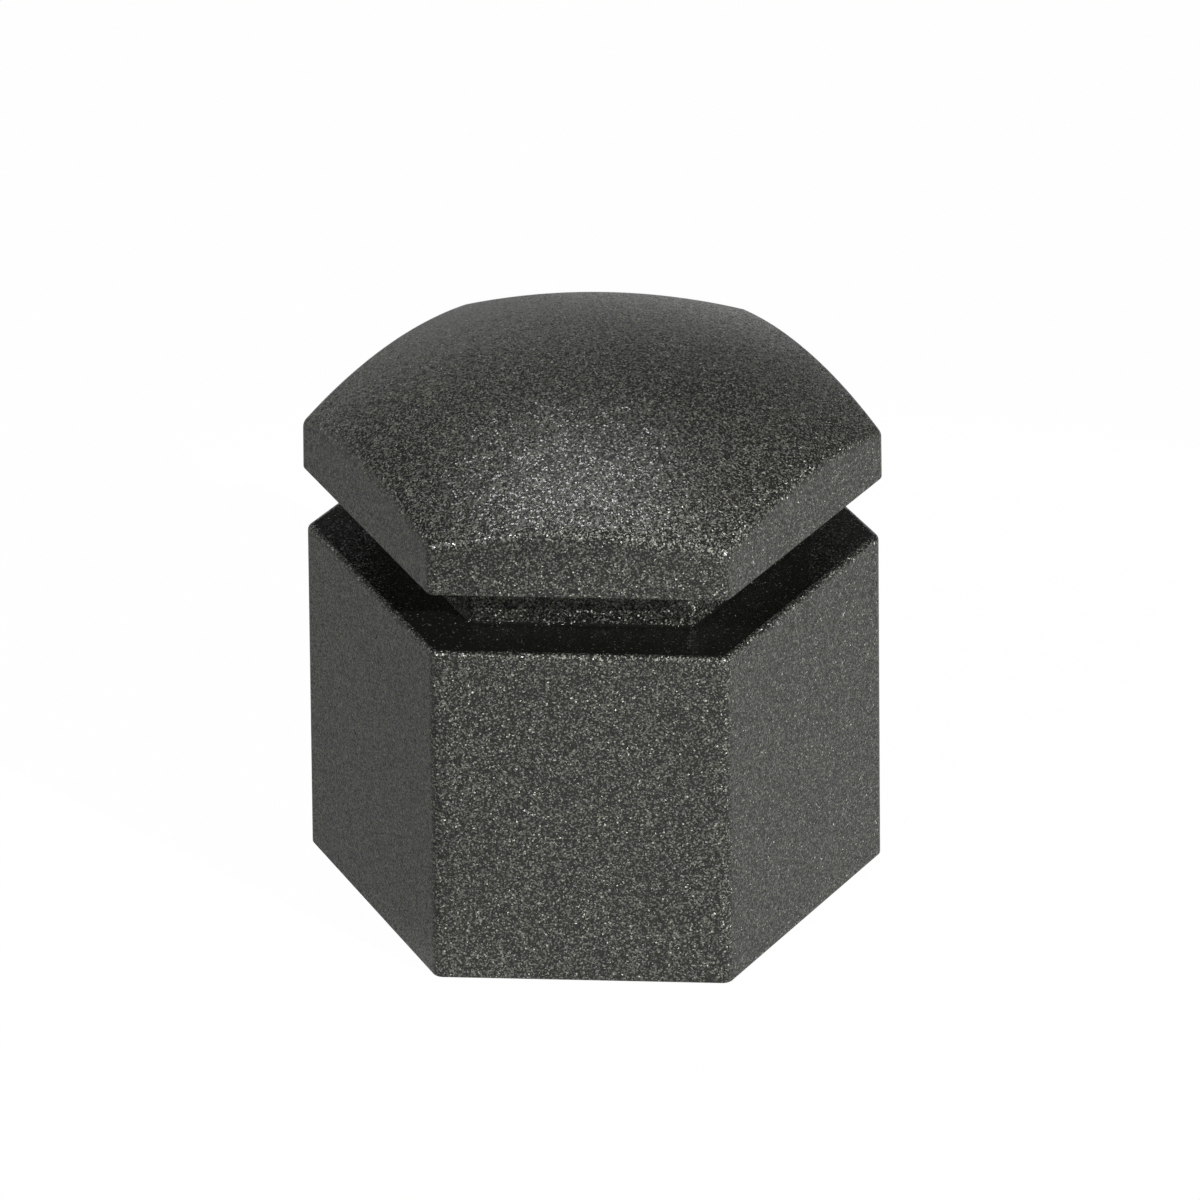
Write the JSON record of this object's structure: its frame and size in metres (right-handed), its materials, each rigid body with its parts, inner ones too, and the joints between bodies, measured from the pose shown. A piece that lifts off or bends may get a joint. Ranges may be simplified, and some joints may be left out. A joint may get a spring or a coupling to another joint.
{
  "type": "wheel bolt cover cap",
  "caption": "Hexagonal push-on plastic cap that covers a wheel bolt's head, with a hollow gripping skirt, a waisted groove for a pulling hook and a domed head.",
  "frame": {"origin": "middle of the open mouth, on the plane of the rim that the cap stands on", "axes": "+Z along the hexagon's axis from the mouth to the crown, corners on the X axis, one flat facing -Y"},
  "size_m": [0.022, 0.0192, 0.0212],
  "materials": {
    "flake_plastic": "dark grey moulded plastic with fine metallic flake and a matt grain"
  },
  "bodies": {
    "root": {"nut_cap": "flake_plastic"}
  },
  "joints": []
}
